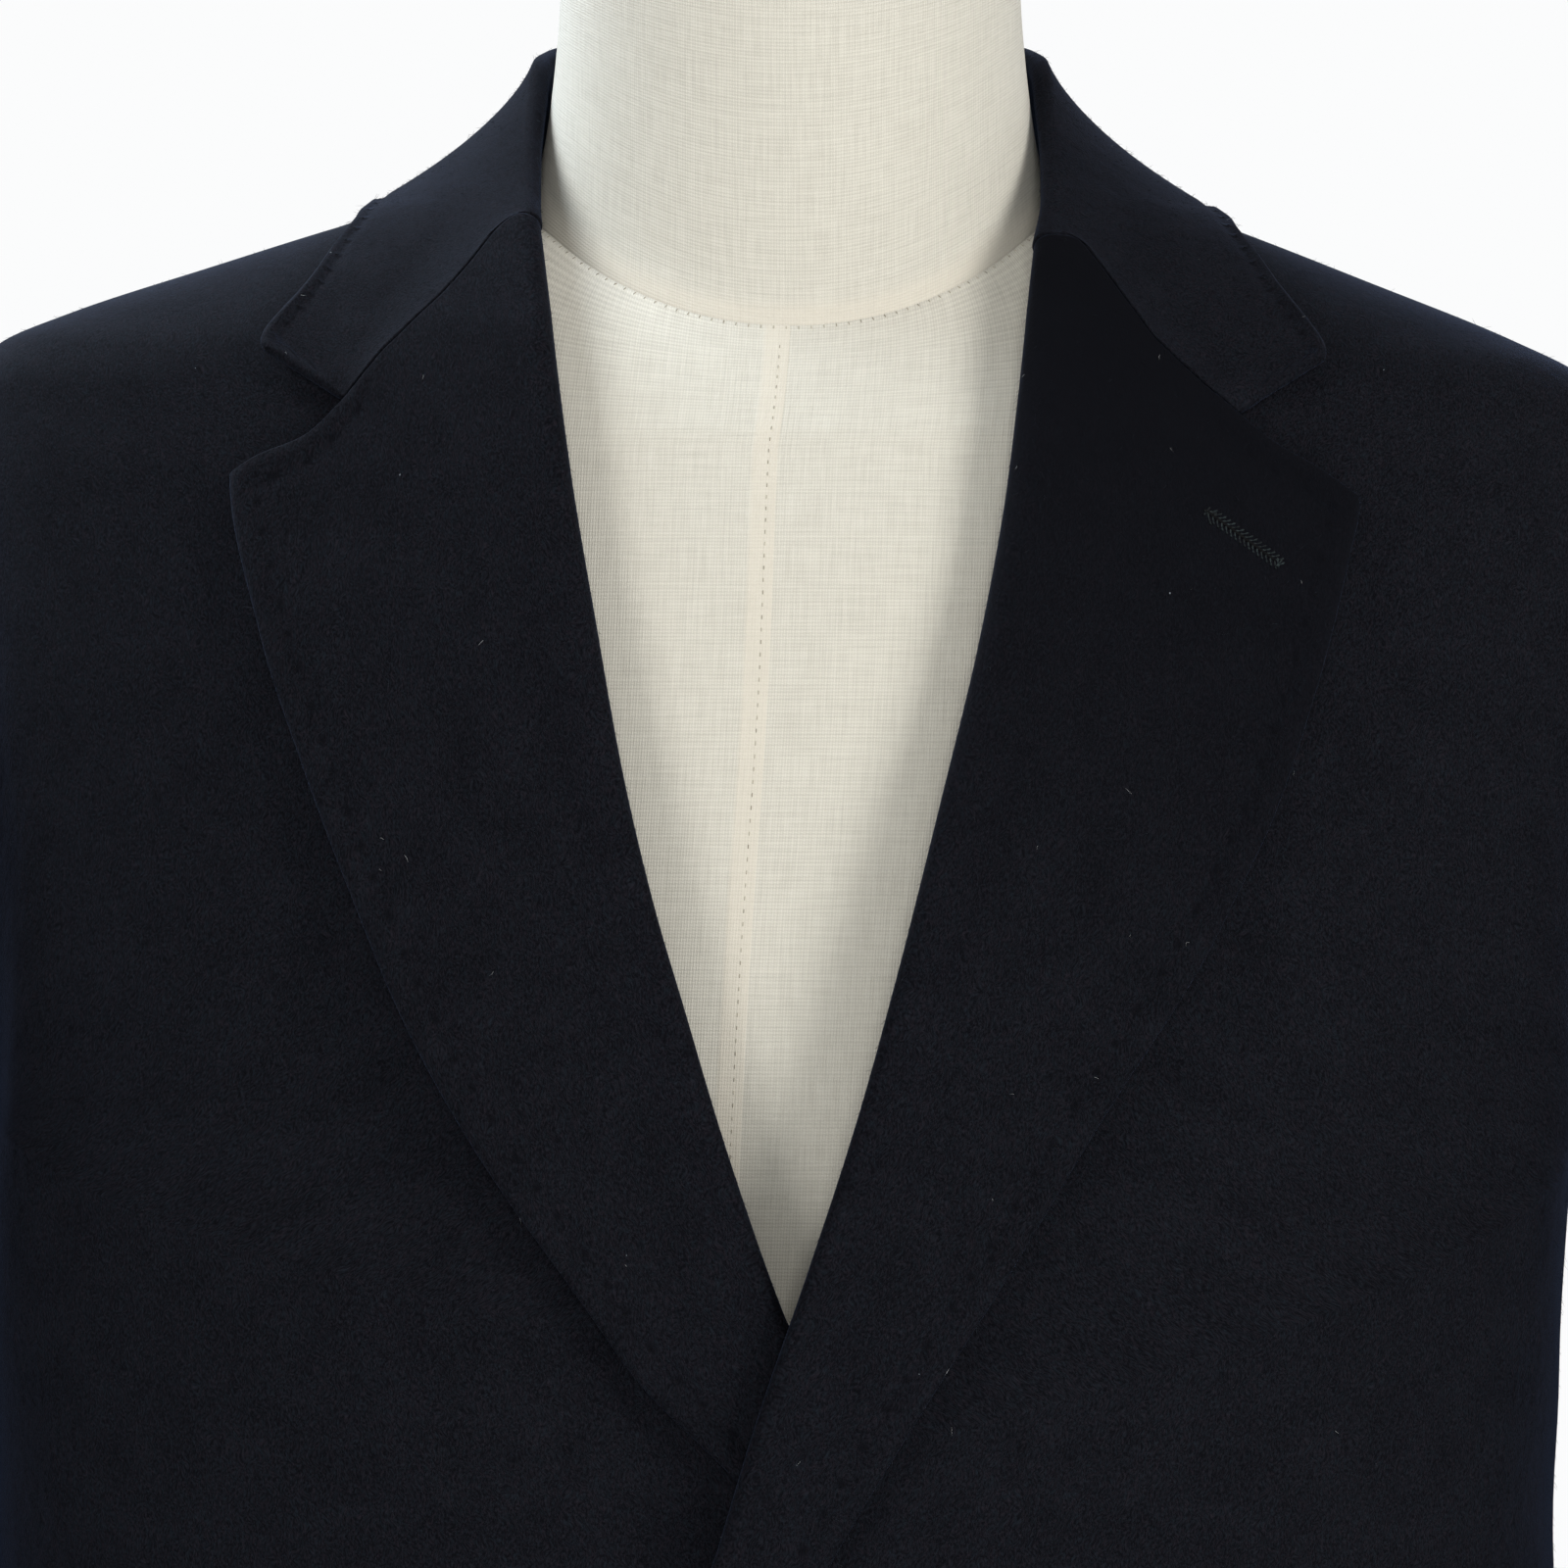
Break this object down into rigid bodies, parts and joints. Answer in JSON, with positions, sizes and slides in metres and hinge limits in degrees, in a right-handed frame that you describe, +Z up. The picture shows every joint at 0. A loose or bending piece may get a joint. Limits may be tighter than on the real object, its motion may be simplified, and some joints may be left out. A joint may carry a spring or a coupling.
{
  "type": "wool overcoat on a dress form",
  "caption": "Single-breasted notch-lapel overcoat in brushed navy wool, buttoned, resting on a limbless linen dress form with a pole and a round metal base.",
  "frame": {"origin": "on the floor, at the centre of the round base's underside", "axes": "+Z up along the pole, -Y the way the coat faces, +X the wearer's left"},
  "size_m": [0.6254, 0.4, 1.585],
  "materials": {
    "navy_wool": "brushed nap",
    "cream_linen": "matte plain weave",
    "stand_metal": "satin",
    "button_horn": "satin"
  },
  "bodies": {
    "root": {"left_front": "navy_wool", "left_back": "navy_wool", "left_lapel": "navy_wool", "left_top_sleeve": "navy_wool", "left_under_sleeve": "navy_wool", "right_front": "navy_wool", "right_back": "navy_wool", "right_lapel": "navy_wool", "right_top_sleeve": "navy_wool", "right_under_sleeve": "navy_wool", "collar": "navy_wool", "button_1": "button_horn", "button_2": "button_horn", "button_3": "button_horn", "form_torso": "cream_linen", "form_neck": "cream_linen", "stand_pole": "stand_metal", "stand_base": "stand_metal"}
  },
  "joints": []
}
